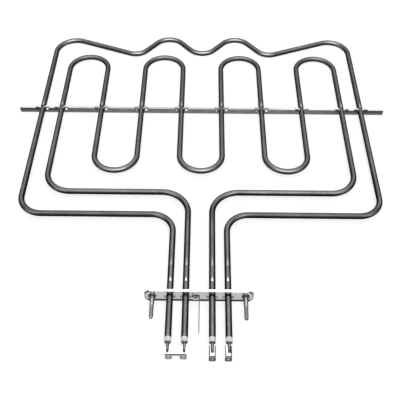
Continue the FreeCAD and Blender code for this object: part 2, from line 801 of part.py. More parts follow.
def make_support_bar():
    """A flat bar on edge with a staked seat for every tube that crosses it."""
    body = new_body("support_bar")
    half_length = outer_side_x + dim("bar_overhang")
    outline = new_sketch(body, "outline", "XZ_Plane", -dim("bar_y"))
    draw_box(outline, -half_length, half_length, -dim("bar_bottom"), dim("bar_top"))
    strip = pad(body, outline, "strip", dim("bar_thick"), symmetric=True)
    doc.recompute()
    low = -dim("bar_bottom").value
    ends = edges_at(strip.Shape, lambda point: near(point.z, low), DEPTH)
    dress(body, "Fillet", "rounded_ends", strip, ends, "Radius", dim("bar_corner"))
    inner_span = first_pass_x * 2
    outer_span = outer_side_x * 2
    inner = staked_seat(body, "inner", -inner_span / 2)
    repeat_along_bar(body, "inner_seats", inner, inner_span, PASSES)
    outer = staked_seat(body, "outer", -outer_span / 2)
    repeat_along_bar(body, "outer_seats", outer, outer_span, 2)
    return body


def make_all():
    """Every piece of the element, in the order it is put together."""
    pieces = []
    for loop, find_bends, leg in LOOPS:
        bends = find_bends()
        leg_x = dim(leg)
        pieces.append(make_sheath(loop, bends, leg_x))
        pieces.append(make_insulation(loop, bends, leg_x))
        pieces.append(make_coil(loop, bends, leg_x))
        for word, side in (("left", -1), ("right", 1)):
            pieces.append(make_pin(f"{loop}_{word}_pin", leg_x, side))
            pieces.append(make_bead(f"{loop}_{word}_bead", leg_x, side))
    pieces.append(make_flange())
    pieces.append(make_stud("stud_left", -1))
    pieces.append(make_stud("stud_right", 1))
    pieces.append(make_earth_tab())
    pieces.append(make_bridge_strap())
    pieces.append(make_channel_terminal("inner_right_terminal", dim("inner_leg_x")))
    outer_centre = dim("outer_leg_x") - dim("outer_shift")
    pieces.append(make_channel_terminal("outer_right_terminal", outer_centre))
    pieces.append(make_support_bar())
    return pieces


def check_document(pieces):
    """Stops on a failed feature or an unsound solid."""
    doc.recompute()
    for item in doc.Objects:
        if "Invalid" in item.State or "Error" in item.State:
            raise RuntimeError(f"{item.Label} ({item.Name}) is {item.State}")
    for piece in pieces:
        shape = piece.Shape
        if shape.isNull() or not shape.isValid() or not shape.Solids:
            raise RuntimeError(f"{piece.Label} has no sound solid")


def write_parts(pieces):
    os.makedirs(PARTS_FOLDER, exist_ok=True)
    for piece in pieces:
        piece.Shape.exportStep(os.path.join(PARTS_FOLDER, piece.Label + ".step"))
        box = piece.Shape.BoundBox
        print(
            f"{piece.Label:22s} solids {len(piece.Shape.Solids)} volume {piece.Shape.Volume:10.2f}"
            f"  x {box.XMin:8.2f} {box.XMax:8.2f}  y {box.YMin:8.2f} {box.YMax:8.2f}"
            f"  z {box.ZMin:7.2f} {box.ZMax:7.2f}"
        )


pieces = make_all()
check_document(pieces)
write_parts(pieces)
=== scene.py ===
import math

import bmesh
import bpy
from mathutils import Matrix, Vector


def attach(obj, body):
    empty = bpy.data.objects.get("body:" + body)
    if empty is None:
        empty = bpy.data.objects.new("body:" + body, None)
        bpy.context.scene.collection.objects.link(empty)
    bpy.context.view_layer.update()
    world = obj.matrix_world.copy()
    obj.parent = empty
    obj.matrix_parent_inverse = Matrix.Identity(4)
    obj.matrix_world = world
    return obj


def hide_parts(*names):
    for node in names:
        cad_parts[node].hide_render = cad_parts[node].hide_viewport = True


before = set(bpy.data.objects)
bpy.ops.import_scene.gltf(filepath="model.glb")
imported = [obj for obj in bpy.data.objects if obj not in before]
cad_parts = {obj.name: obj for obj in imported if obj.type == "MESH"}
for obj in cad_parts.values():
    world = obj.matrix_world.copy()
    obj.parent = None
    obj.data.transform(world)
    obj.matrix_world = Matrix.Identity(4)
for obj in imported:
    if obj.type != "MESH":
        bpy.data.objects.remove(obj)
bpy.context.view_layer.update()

MM = 0.001

# Sheaths, bar, terminals and studs, as in the solid model
SHEATH_RADIUS = 3.15 * MM
SHEATH_BORE = 2.6 * MM
SHEATH_END = -43.5 * MM
PASSES = 8
PASS_PITCH = 47.5 * MM
FIRST_PASS_X = PASS_PITCH * (PASSES - 1) / 2
SIDE_X = FIRST_PASS_X + 22.5 * MM
FAR_TURN_Y = 338.3 * MM
NEAR_TURN_Y = 185.8 * MM
OUTER_LEG_X = 27.35 * MM
INNER_LEG_X = 12.45 * MM
BAR_Y = 262 * MM
PUNCH_X = 6 * MM
PUNCH_Z = 1.2 * MM
STRAP_FRONT = -59.5 * MM
CHANNEL_FRONT = -61.1 * MM
OUTER_TERMINAL_X = 26.75 * MM
STUD_X = 43.75 * MM
STUD_TIP_Y = -24.5 * MM

# Mesh of the tubes
LEFT_TURN = 1
RIGHT_TURN = -1
ARC_STEP = math.radians(3)
STRAIGHT_STEP = 6 * MM
TUBE_SIDES = 40
RIM_ROUND = 0.22 * MM

# Mesh of the studs
THREAD_PITCH = 0.7 * MM
THREAD_DEPTH = 0.38 * MM
THREAD_RADIUS = 1.95 * MM
THREAD_START = -10 * MM
THREAD_WAVE = (0, 0.5, 1, 0.5)
STUD_SIDES = 28
NARROWEST = 0.2 * MM

# Floor and light
FLOOR_CONTACT_NEAR = Vector((0, -61.1, -10.37)) * MM
FLOOR_CONTACT_FAR = Vector((0, 400.9, -3.15)) * MM
FLOOR_SIZE = 6
WORLD_LIGHT = 0.22

# Photograph's camera
IMAGE_WIDTH = 400
FOCAL_PIXELS = 676.82
SENSOR_WIDTH = 36
CAMERA_PLACE = Vector((2.88, -347.94, 536.8)) * MM
CAMERA_PITCH = math.radians(48.93)
CAMERA_YAW = math.radians(-0.386)
CAMERA_ROLL = math.radians(0.262)

# Colours shared by materials
# Near black for painted shade: on the studs, and together with oxide and soot on the terminal walls, folds
# and bead noses
SHADE_BLACK = (0.05, 0.05, 0.049)
# Pale grey: the beads' light tone, and the painted highlight on the sheaths' bends
BEAD_GREY_AND_HIGHLIGHT = (0.72, 0.72, 0.71)


class Shader:
    """A material's node tree, with short calls for the nodes that the materials here share."""

    def __init__(self, name):
        self.material = bpy.data.materials.new(name)
        self.material.use_nodes = True
        self.tree = self.material.node_tree
        self.bsdf = self.tree.nodes["Principled BSDF"]
        self.place = self.add("ShaderNodeTexCoord").outputs["Object"]

    def add(self, kind, **settings):
        made = self.tree.nodes.new(kind)
        for name, value in settings.items():
            setattr(made, name, value)
        return made

    def link(self, source, target):
        self.tree.links.new(source, target)

    def feed(self, socket, value):
        """A socket gets another node's output, or a constant."""
        if isinstance(value, bpy.types.NodeSocket):
            self.link(value, socket)
        elif isinstance(value, tuple):
            socket.default_value = (*value, 1)
        else:
            socket.default_value = value

    def attribute(self, name):
        """A value that the mesh carries at each point."""
        return self.add("ShaderNodeAttribute", attribute_name=name).outputs["Fac"]

    def noise(self, scale, detail, vector=None, stretch=None):
        vector = vector or self.place
        if stretch:
            mapping = self.add("ShaderNodeMapping")
            self.link(vector, mapping.inputs["Vector"])
            mapping.inputs["Scale"].default_value = stretch
            vector = mapping.outputs["Vector"]
        made = self.add("ShaderNodeTexNoise")
        self.link(vector, made.inputs["Vector"])
        made.inputs["Scale"].default_value = scale
        made.inputs["Detail"].default_value = detail
        made.inputs["Roughness"].default_value = 0.55
        return made.outputs["Fac"]

    def ramp(self, value, stops, interpolation="LINEAR"):
        """A value turned into a colour or a grey by stops of (place, colour or grey)."""
        made = self.add("ShaderNodeValToRGB")
        made.color_ramp.interpolation = interpolation
        elements = made.color_ramp.elements
        while len(elements) < len(stops):
            elements.new(0.5)
        for element, (place, colour) in zip(elements, stops):
            element.position = place
            element.color = (*colour, 1) if isinstance(colour, tuple) else (colour, colour, colour, 1)
        self.link(value, made.inputs["Fac"])
        return made.outputs["Color"]

    def math(self, operation, first, second=None):
        made = self.add("ShaderNodeMath", operation=operation)
        for socket, value in zip(made.inputs, (first, second)):
            if value is not None:
                self.feed(socket, value)
        return made.outputs["Value"]

    def mix(self, factor, first, second, blend="MIX"):
        made = self.add("ShaderNodeMix", data_type="RGBA", blend_type=blend)
        sockets = [s for s in made.inputs if s.enabled]
        for socket, value in zip(sockets, (factor, first, second)):
            self.feed(socket, value)
        return next(s for s in made.outputs if s.enabled)

    def times(self, *values):
        product = values[0]
        for value in values[1:]:
            product = self.math("MULTIPLY", product, value)
        return product

    def most(self, *values):
        """The largest of several values."""
        largest = values[0]
        for value in values[1:]:
            largest = self.math("MAXIMUM", largest, value)
        return largest

    def rest(self, share):
        """What a share leaves of 1."""
        return self.math("SUBTRACT", 1, share)

    def distance(self, value, centre=0):
        """How far a value is from a centre, either way."""
        return self.math("ABSOLUTE", self.math("SUBTRACT", value, centre))

    def axis(self, letter):
        """One of the row frame's coordinates, in metres."""
        made = self.add("ShaderNodeSeparateXYZ")
        self.link(self.place, made.inputs["Vector"])
        return made.outputs[letter]

    def facing(self, letter):
        """One coordinate of the way the surface faces, in the row frame."""
        made = self.add("ShaderNodeSeparateXYZ")
        self.link(self.add("ShaderNodeTexCoord").outputs["Normal"], made.inputs["Vector"])
        return made.outputs[letter]

    def upward(self):
        """1 where the surface faces up, 0 where it stands or faces down."""
        return self.ramp(self.facing("Z"), [(0.3, 0.0), (0.8, 1.0)])

    def reach(self, first, second):
        """Distance from zero of two coordinates taken together."""
        squares = self.math("ADD", self.times(first, first), self.times(second, second))
        return self.math("SQRT", squares)

    def band(self, value, low, high, soft):
        """1 between low and high, falling to 0 over soft on each side."""
        slopes = []
        for start, end in ((low - soft, low), (high + soft, high)):
            slope = self.add("ShaderNodeMapRange", interpolation_type="SMOOTHSTEP")
            self.link(value, slope.inputs["Value"])
            slope.inputs["From Min"].default_value = start
            slope.inputs["From Max"].default_value = end
            slopes.append(slope.outputs["Result"])
        return self.times(*slopes)

    def bump(self, height, strength, distance):
        made = self.add("ShaderNodeBump")
        made.inputs["Strength"].default_value = strength
        made.inputs["Distance"].default_value = distance
        self.link(height, made.inputs["Height"])
        self.link(made.outputs["Normal"], self.bsdf.inputs["Normal"])

    def paint(self, colour):
        self.feed(self.bsdf.inputs["Base Color"], colour)

    def surface(self, colour, roughness, metallic=1.0):
        self.paint(colour)
        self.feed(self.bsdf.inputs["Roughness"], roughness)
        self.bsdf.inputs["Metallic"].default_value = metallic


# Material of the sheaths


def glint_drop(s, crown, start, length):
    """A drop-shaped painted highlight on the crown, widest at its start."""
    crown_limit, narrowing, sharpness = 0.925, 0.07, 12
    past = s.math("SUBTRACT", s.axis("Y"), start)
    limit = s.math("ADD", s.times(past, narrowing / length), crown_limit)
    inside = s.math("SUBTRACT", crown, limit)
    soft = s.ramp(s.times(inside, sharpness), [(0.0, 0.0), (0.5, 1.0)], "EASE")
    return s.times(soft, s.band(past, 0.5 * MM, length, 1.5 * MM))


def glint_share(s, crown):
    """Painted highlights shaped as drops: one beyond the bar on every run, and two on each leg beyond the
    plate.
    """
    beyond_bar, bar_drop_length, bar_drop_share = BAR_Y + 4.5 * MM, 8 * MM, 0.5
    leg_drops = ((16 * MM, 5 * MM, 1.0), (34 * MM, 11 * MM, 0.3))
    legs = s.band(s.axis("X"), -31 * MM, 31 * MM, 1 * MM)
    glints = s.times(glint_drop(s, crown, beyond_bar, bar_drop_length), bar_drop_share)
    for start, length, share in leg_drops:
        glints = s.most(glints, s.times(glint_drop(s, crown, start, length), legs, share))
    return glints


def crown_highlight_share(s, crown, patches, flank):
    """How much painted highlight lies along the crown, unevenly, less on the outer loop's cross run, and
    none on the flanks.
    """
    unevenness, cross_run_loss = 0.22, 0.4
    ragged = s.math("ADD", crown, s.times(s.math("SUBTRACT", patches, 0.5), unevenness))
    crown_lit = s.ramp(ragged, [(0.46, 0.0), (0.68, 0.5), (0.88, 1.0)], "EASE")
    cross_run = s.band(s.axis("Y"), 94 * MM, 106 * MM, 8 * MM)
    return s.times(crown_lit, s.rest(s.times(cross_run, cross_run_loss)), flank)


def bend_highlight_share(s, bent, flank):
    """How much painted highlight lies on the front of a bend: least on the inner loop's far turns, most on
    the waves.
    """
    usual, far_turn_loss, wave_gain = 0.3, 0.22, 0.12
    y = s.axis("Y")
    front = s.band(s.times(s.facing("Y"), -1), 0.6, 0.72, 0.2)
    far_turns = s.times(s.band(y, 330 * MM, 364 * MM, 2 * MM), far_turn_loss)
    waves = s.times(s.band(y, 368 * MM, 420 * MM, 2 * MM), wave_gain)
    amount = s.math("ADD", s.math("SUBTRACT", usual, far_turns), waves)
    return s.times(front, flank, bent, amount)


def oxidised_steel():
    """Sheath after heating, with draw lines and scale. Its oxide is painted lighter along the crown as a
    highlight and darker on the flanks, underside and far backs as shade. It also has painted highlights on
    the front of bends, drop-shaped painted glints, and a painted shadow where it meets the plate.
    """
    s = Shader("oxidised_steel")
    crown, y = s.attribute("crown"), s.axis("Y")
    vector = s.add("ShaderNodeCombineXYZ")
    s.link(s.attribute("along"), vector.inputs["X"])
    s.link(s.attribute("around"), vector.inputs["Y"])
    lines = s.noise(1, 4, vector.outputs["Vector"], stretch=(45, 34, 1))
    patches = s.noise(38, 4)
    grain = s.noise(1400, 2)
    tone = s.mix(0.45, s.mix(0.5, lines, patches), grain)
    near_half = s.band(y, 20 * MM, 150 * MM, 50 * MM)
    far_half = s.band(y, 190 * MM, 500 * MM, 60 * MM)
    # lit_oxide is the oxide painted lighter, as a highlight on the crown; shaded_oxide is the same oxide
    # painted darker, as shade on the flanks and underside
    lit_oxide = s.ramp(tone, [(0.34, 0.08), (0.5, 0.13), (0.66, 0.21)])
    near_shaded_oxide = s.ramp(tone, [(0.36, 0.01), (0.64, 0.028)])
    far_shaded_oxide = s.ramp(tone, [(0.36, 0.03), (0.64, 0.06)])
    shaded_oxide = s.mix(far_half, near_shaded_oxide, far_shaded_oxide)
    # Painted shade: flanks that face sideways keep the shaded oxide
    flank = s.ramp(s.distance(s.facing("X")), [(0.2, 1.0), (0.66, 0.04)], "EASE")
    flank = s.most(flank, s.times(far_half, 0.32))
    # Painted highlight along the crown, over the painted shade
    colour = s.mix(crown_highlight_share(s, crown, patches, flank), shaded_oxide, lit_oxide)
    # Painted highlight on the front of bends
    colour = s.mix(bend_highlight_share(s, s.attribute("bent"), flank), colour, BEAD_GREY_AND_HIGHLIGHT)
    # Painted shade: surfaces of the far half that face back take the shaded oxide
    back = s.times(s.ramp(s.facing("Y"), [(0.3, 0.0), (0.62, 0.6)]), far_half)
    colour = s.mix(back, colour, shaded_oxide)
    olive = s.times(s.ramp(s.noise(11, 2), [(0.46, 0.0), (0.64, 0.5)]), near_half)
    colour = s.mix(olive, colour, (1, 0.96, 0.76), "MULTIPLY")
    # Painted highlights: drop-shaped glints on the crown
    colour = s.mix(glint_share(s, crown), colour, (0.66, 0.66, 0.64))
    # Painted shadow where the tube meets the plate
    plate_joint_shadow = s.band(y, -0.7 * MM, 0.5 * MM, 0.7 * MM)
    colour = s.mix(plate_joint_shadow, colour, (0.004, 0.004, 0.004))
    s.surface(colour, s.ramp(tone, [(0.35, 0.5), (0.65, 0.36)]))
    s.bsdf.inputs["Specular Tint"].default_value = (0.05, 0.05, 0.05, 1)
    s.bump(s.mix(0.5, lines, grain), 0.25, 0.05 * MM)
    return s.material


# Materials of sheet steel and studs


def rolled_sheet(name, dark, light, rough_low, rough_high, scale=600, stretch=(6, 1, 6)):
    """Sheet steel with faint rolling lines, small pits and rubbed tone; its colour can be built on."""
    s = Shader(name)
    lines = s.noise(scale, 3, stretch=stretch)
    cloud = s.noise(70, 3)
    tone = s.mix(0.5, lines, cloud)
    colour = s.ramp(tone, [(0.35, dark), (0.65, light)])
    s.surface(colour, s.ramp(tone, [(0.35, rough_high), (0.65, rough_low)]))
    s.bump(lines, 0.12, 0.03 * MM)
    return s, colour


def plate_steel():
    """Bright flange plate with painted shade round the tube exits, in the punch marks beside each tube,
    round the stud collars and along the lower edge, and with a dark painted reflection on the ends and
    corner cuts.
    """
    dark, light = (0.47, 0.47, 0.465), (0.56, 0.56, 0.555)
    s, colour = rolled_sheet("plate_steel", dark, light, 0.2, 0.26, stretch=(1, 6, 6))
    x, y, z = s.axis("X"), s.axis("Y"), s.axis("Z")
    aside = s.distance(x)
    # Painted shade along the lower edge
    plate_shade = s.band(z, -9 * MM, -4.8 * MM, 0.7 * MM)
    for leg in (INNER_LEG_X, OUTER_LEG_X):
        off = s.distance(aside, leg)
        # Painted shadow round each tube exit, and painted shade in the punch marks beside it
        exit_shadow = s.band(s.reach(off, z), 0, SHEATH_RADIUS + 0.1 * MM, 0.3 * MM)
        beside, level = s.band(off, 3.6 * MM, 5 * MM, 0.9 * MM), s.band(z, -1.8 * MM, 0.8 * MM, 1 * MM)
        plate_shade = s.most(plate_shade, exit_shadow, s.times(beside, level, 0.6))
    # Painted shade round the stud collars; dark painted reflection on the corner cuts and ends
    collar = s.band(s.reach(s.distance(aside, STUD_X), z), 0, 3.8 * MM, 0.8 * MM)
    corner_cuts = s.band(s.math("ADD", aside, s.distance(z)), 54.2 * MM, 70 * MM, 0.4 * MM)
    ends = s.band(aside, 50.3 * MM, 60 * MM, 0.3 * MM)
    plate_shade = s.most(plate_shade, corner_cuts, ends, s.times(collar, 0.3))
    front = s.band(y, -1 * MM, 0.7 * MM, 0.3 * MM)
    s.paint(s.mix(s.times(plate_shade, front, 0.96), colour, (0.012, 0.012, 0.012)))
    return s.material


def bar_steel():
    """Support bar: heated sides, darkest under the edge near the ends, punch marks painted with a highlight
    on one side and shade on the other, and an upper edge painted pale as a reflection.
    """
    s, colour = rolled_sheet("bar_steel", 0.125, 0.21, 0.32, 0.45, 300, (0.4, 3, 6))
    x, z = s.axis("X"), s.axis("Z")
    under_edge = s.band(z, -0.4 * MM, 6 * MM, 3 * MM)
    ends = s.rest(s.band(x, -120 * MM, 130 * MM, 70 * MM))
    sides = s.mix(s.times(under_edge, ends, 0.85), colour, (0.05, 0.05, 0.05))
    middle = s.band(x, -85 * MM, 60 * MM, 35 * MM)
    short_of_right_end = s.rest(s.band(x, 140 * MM, 300 * MM, 60 * MM))
    rise = s.math("SUBTRACT", z, PUNCH_Z)
    # Punch marks beside each run: painted highlight mostly on their right side, painted shade on the left
    # and near the bar's right end
    for run in [PASS_PITCH * (0.5 + turn) for turn in range(PASSES // 2)] + [SIDE_X]:
        from_run = s.math("SUBTRACT", s.distance(x), run)
        mark = s.band(s.reach(s.distance(s.distance(from_run), PUNCH_X), rise), 0, 1.2 * MM, 0.4 * MM)
        right_side = s.math("GREATER_THAN", s.times(from_run, x), 0)
        bright = s.times(short_of_right_end, s.most(right_side, s.times(middle, 0.35)))
        sides = s.mix(mark, sides, s.mix(bright, (0.03, 0.03, 0.03), (0.92, 0.92, 0.92)))
    # Painted reflection: the upward-facing upper edge is pale, greyer along the long middle
    upper_edge = s.times(s.upward(), s.band(z, 2.4 * MM, 8 * MM, 0.3 * MM))
    long_middle = s.band(x, -140 * MM, 75 * MM, 40 * MM)
    s.paint(s.mix(upper_edge, sides, s.mix(long_middle, (0.85, 0.85, 0.84), (0.58, 0.58, 0.58))))
    s.feed(s.bsdf.inputs["Metallic"], s.ramp(upper_edge, [(0.0, 1.0), (1.0, 0.25)]))
    return s.material


def stud_steel():
    """Plated stud: a light streak along the middle, with painted shade on the flanks, the tip and the upper
    collar by the plate.
    """
    s, colour = rolled_sheet("stud_steel", (0.26, 0.26, 0.257), (0.38, 0.38, 0.376), 0.34, 0.46)
    y, z = s.axis("Y"), s.axis("Z")
    aside = s.distance(s.distance(s.axis("X")), STUD_X)
    # Painted shade on the flanks, the tip and the upper collar by the plate
    flanks = s.times(s.band(aside, 1.5 * MM, 2.3 * MM, 0.6 * MM), 0.85)
    tip = s.times(s.band(y, -26 * MM, -23.6 * MM, 0.8 * MM), 0.6)
    collar = s.times(s.band(y, -1.1 * MM, 0.1 * MM, 0.3 * MM), s.band(z, 0.2 * MM, 6 * MM, 1.5 * MM), 0.6)
    s.paint(s.mix(s.most(flanks, tip, collar), colour, SHADE_BLACK))
    s.bsdf.inputs["Specular Tint"].default_value = (0.1, 0.1, 0.1, 1)
    return s.material


def tab_steel(name, front, blade, edge, centres=()):
    """Plated terminal: bright seat, painted shade on the hanging blade and in the front fold, and dark upper
    walls of oxide and painted shade.

    A strip on each side of every centre is dark at any height.
    """
    s, colour = rolled_sheet(name, (0.74, 0.74, 0.73), (0.88, 0.88, 0.87), 0.24, 0.38)
    x, y, z = s.axis("X"), s.axis("Y"), s.axis("Z")
    # Painted shade: surfaces that hang below the seat and do not face up take the blade colour
    hanging = s.times(s.band(z, -12 * MM, -3 * MM, 0.6 * MM), s.rest(s.upward()))
    # Painted shade in the front fold
    fold = s.times(s.band(y, front, front + 0.8 * MM, 0.2 * MM), s.band(z, -2.2 * MM, 0, 0.2 * MM))
    # Upper walls, and the strips beside each centre: oxide and painted shade
    dark = s.most(s.band(z, -1.2 * MM, 3 * MM, 0.15 * MM), fold)
    for centre in centres:
        dark = s.most(dark, s.band(s.distance(x, centre), 1.9 * MM, 3.3 * MM, 0.3 * MM))
    s.paint(s.mix(dark, s.mix(hanging, colour, blade), edge))
    return s.material


def earth_steel():
    """Earth tab: grey plated strip with a dark blade, and a burnt weld under an arch of painted shade on its
    foot, with painted shade along the foot's upper edge.
    """
    s, colour = rolled_sheet("earth_steel", (0.42, 0.42, 0.415), (0.54, 0.54, 0.535), 0.24, 0.38)
    y, z = s.axis("Y"), s.axis("Z")
    weld_x, weld_z = -3.1 * MM, -0.3 * MM
    across = s.math("SUBTRACT", s.axis("X"), weld_x)
    weld = s.band(s.reach(across, s.math("SUBTRACT", z, weld_z)), 0, 1.4 * MM, 0.8 * MM)
    # Painted shade: an arch on the upper side of the weld
    arch = s.band(s.reach(across, z), 2.5 * MM, 4.2 * MM, 0.5 * MM)
    arch = s.times(arch, s.band(z, 0.4 * MM, 6 * MM, 0.8 * MM))
    # Painted shade along the foot's upper edge
    upper_edge = s.band(z, 4.6 * MM, 7 * MM, 0.3 * MM)
    # burnt holds the real weld mark together with the painted shade of the arch and the upper edge
    burnt = s.most(s.times(weld, 0.8), arch, s.times(upper_edge, 0.35))
    foot = s.times(burnt, s.band(y, -1.4 * MM, 1 * MM, 0.3 * MM))
    blade_top = s.times(s.upward(), s.band(y, -40 * MM, -1.4 * MM, 0.3 * MM))
    colour = s.mix(blade_top, colour, (0.035, 0.035, 0.035))
    s.paint(s.mix(foot, colour, (0.02, 0.02, 0.02)))
    return s.material


# Materials of pins, beads, powder and coils


def drawn_pin():
    """Drawn pin: olive-grey crown, painted shade on the flanks, and a burnt tip."""
    s = Shader("drawn_pin")
    grain = s.noise(500, 3, stretch=(4, 0.4, 4))
    colour = s.ramp(grain, [(0.35, (0.12, 0.119, 0.105)), (0.65, (0.22, 0.218, 0.2))])
    # Painted shade on the flanks
    flank = s.ramp(s.distance(s.facing("X")), [(0.3, 0.0), (0.65, 1.0)])
    tip = s.band(s.axis("Y"), -58 * MM, -56.1 * MM, 0.4 * MM)
    colour = s.mix(s.most(flank, tip), colour, (0.03, 0.03, 0.028))
    s.surface(colour, s.ramp(grain, [(0.3, 0.42), (0.7, 0.28)]))
    s.bump(grain, 0.15, 0.03 * MM)
    return s.material


def ceramic():
    """Unglazed steatite, chalky, with fine pores, a faint grey bloom and a dark nose of soot and painted
    shade.
    """
    s = Shader("ceramic")
    grain = s.noise(900, 4)
    bloom = s.noise(160, 2)
    tone = s.mix(0.5, grain, bloom)
    colour = s.ramp(tone, [(0.35, (0.56, 0.56, 0.545)), (0.6, BEAD_GREY_AND_HIGHLIGHT)])
    # Dark nose: soot and painted shade
    nose = s.times(s.band(s.axis("Y"), -50 * MM, -48.3 * MM, 0.5 * MM), 0.9)
    s.surface(s.mix(nose, colour, SHADE_BLACK), s.ramp(grain, [(0.3, 0.7), (0.7, 0.5)]), 0)
    s.bump(grain, 0.3, 0.05 * MM)
    return s.material


def powder():
    """Packed magnesium oxide, off-white and grainy."""
    s = Shader("powder")
    grain = s.noise(2200, 3)
    colour = s.ramp(grain, [(0.3, (0.72, 0.7, 0.66)), (0.7, (0.86, 0.85, 0.82))])
    s.surface(colour, s.ramp(grain, [(0.3, 0.95), (0.7, 0.8)]), 0)
    s.bump(grain, 0.4, 0.05 * MM)
    return s.material


def coil_wire():
    """Fine close turns of resistance wire."""
    s = Shader("coil_wire")
    wave = s.add("ShaderNodeTexWave", wave_type="BANDS", bands_direction="Y")
    s.link(s.place, wave.inputs["Vector"])
    wave.inputs["Scale"].default_value = 600
    turns = wave.outputs["Fac"]
    colour = s.ramp(turns, [(0.1, (0.1, 0.09, 0.085)), (0.8, (0.42, 0.4, 0.38))])
    s.surface(colour, s.ramp(turns, [(0, 0.6), (1, 0.35)]))
    s.bump(turns, 0.5, 0.1 * MM)
    return s.material


def node_materials():
    """The material of each node that keeps its own mesh."""
    channel_centres = (INNER_LEG_X, OUTER_TERMINAL_X)
    channel = tab_steel("channel_steel", CHANNEL_FRONT, (0.12, 0.12, 0.118), SHADE_BLACK, channel_centres)
    materials = {
        "flange_plate": plate_steel(),
        "support_bar": bar_steel(),
        "earth_tab": earth_steel(),
        "bridge_strap": tab_steel("strap_steel", STRAP_FRONT, (0.25, 0.25, 0.245), (0.07, 0.066, 0.05)),
        "inner_right_terminal": channel,
        "outer_right_terminal": channel,
    }
    pin, bead, insulation, coil = drawn_pin(), ceramic(), powder(), coil_wire()
    for loop in ("outer", "inner"):
        materials[loop + "_insulation"] = insulation
        materials[loop + "_coil"] = coil
        for side in ("left", "right"):
            materials[f"{loop}_{side}_pin"] = pin
            materials[f"{loop}_{side}_bead"] = bead
    return materials


def dress_nodes():
    for name, material in node_materials().items():
        slots = bpy.data.objects[name].data.materials
        slots.clear()
        slots.append(material)


# Centre lines of the loops: bends of half a loop as (x, y, radius, turn)


def outer_bends():
    middle, crest, dip = 19.5 * MM, 20.6 * MM, 18.1 * MM
    crest_gap, dip_gap = 2.8 * MM, 4.85 * MM
    crest_x = middle + crest_gap + crest
    dip_x = crest_x + crest + dip_gap + dip
    run_y, run_bend, side_bend, corner = 99.7 * MM, 22.4 * MM, 24.2 * MM, 24 * MM
    corner_rise, dip_rise, crest_rise, middle_rise = 35 * MM, 49.55 * MM, 42 * MM, 53 * MM
    return [
        (OUTER_LEG_X + run_bend, run_y - run_bend, run_bend, RIGHT_TURN),
        (SIDE_X - side_bend, run_y + side_bend, side_bend, LEFT_TURN),
        (SIDE_X - corner, FAR_TURN_Y + corner_rise, corner, LEFT_TURN),
        (dip_x, FAR_TURN_Y + dip_rise, dip, RIGHT_TURN),
        (crest_x, FAR_TURN_Y + crest_rise, crest, LEFT_TURN),
        (0, FAR_TURN_Y + middle_rise, middle, RIGHT_TURN),
    ]


def inner_bends():
    run_y, run_bend, side_bend = 130.6 * MM, 28.5 * MM, 27.6 * MM
    bends = [
        (INNER_LEG_X + run_bend, run_y - run_bend, run_bend, RIGHT_TURN),
        (FIRST_PASS_X - side_bend, run_y + side_bend, side_bend, LEFT_TURN),
    ]
    for turn in range(PASSES // 2):
        x = PASS_PITCH * (PASSES // 2 - 1 - turn)
        far = turn % 2 == 0
        y = FAR_TURN_Y if far else NEAR_TURN_Y
        bends.append((x, y, PASS_PITCH / 2, LEFT_TURN if far else RIGHT_TURN))
    return bends


def heading_between(first, second):
    """Heading of the straight run from one bend to the next."""
    dx, dy = second[0] - first[0], second[1] - first[1]
    offset = second[3] * second[2] - first[3] * first[2]
    return math.atan2(dy, dx) - math.asin(offset / math.hypot(dx, dy))


def point_on(bend, heading):
    x, y, radius, turn = bend
    return Vector((x + turn * radius * math.sin(heading), y - turn * radius * math.cos(heading)))


def half_route(bends):
    """Half a loop from the tube's end to the middle, as (point, heading, how deep in a bend)."""
    up = math.pi / 2
    headings = [up] + [heading_between(a, b) for a, b in zip(bends, bends[1:])] + [math.pi]
    here = Vector((point_on(bends[0], up).x, SHEATH_END))
    route = [(here, up, 0)]
    for bend, before, after in zip(bends, headings, headings[1:]):
        entry = point_on(bend, before)
        steps = max(1, round((entry - here).length / STRAIGHT_STEP))
        route += [(here.lerp(entry, i / steps), before, 0) for i in range(1, steps + 1)]
        sweep = (after - before) % math.tau
        if bend[3] == RIGHT_TURN:
            sweep -= math.tau
        steps = max(2, round(abs(sweep) / ARC_STEP))
        arch = math.pi / 2 if bend is bends[-1] else math.pi
        for i in range(1, steps + 1):
            heading = before + sweep * i / steps
            route.append((point_on(bend, heading), heading, math.sin(arch * i / steps)))
        here = route[-1][0]
    return route


def whole_route(bends):
    """Points with their sideways directions and bend depths, from the right end to the left end."""
    half = half_route(bends)
    right = [(Vector((p.x, p.y, 0)), Vector((math.sin(a), -math.cos(a), 0)), bent) for p, a, bent in half]
    left = [(Vector((-p.x, p.y, 0)), Vector((-n.x, n.y, 0)), bent) for p, n, bent in reversed(right[:-1])]
    return right + left


# Meshes of tubes and studs


def finish_mesh(name, mesh, material, smooth=True):
    """Turns a mesh into a piece that rides the body."""
    bmesh.ops.recalc_face_normals(mesh, faces=mesh.faces)
    data = bpy.data.meshes.new(name)
    mesh.to_mesh(data)
    mesh.free()
    for face in data.polygons:
        face.use_smooth = smooth
    data.materials.append(material)
    piece = bpy.data.objects.new(name, data)
    bpy.context.collection.objects.link(piece)
    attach(piece, "root")
    return piece


def tube_stations(bends):
    """The route's places with the tube's radius there, rounded off at each end's rim."""
    route = whole_route(bends)
    (first, first_side), (last, last_side) = route[0][:2], route[-1][:2]
    rounding = ((1, 0), (0.3, 0.3), (0, 1))
    edge = Vector((0, RIM_ROUND, 0))
    start = [(first + edge * up, first_side, SHEATH_RADIUS - RIM_ROUND * down, 0) for down, up in rounding]
    end = [(last + edge * up, last_side, SHEATH_RADIUS - RIM_ROUND * down, 0) for down, up in rounding[::-1]]
    return start + [(point, side, SHEATH_RADIUS, bent) for point, side, bent in route[1:-1]] + end


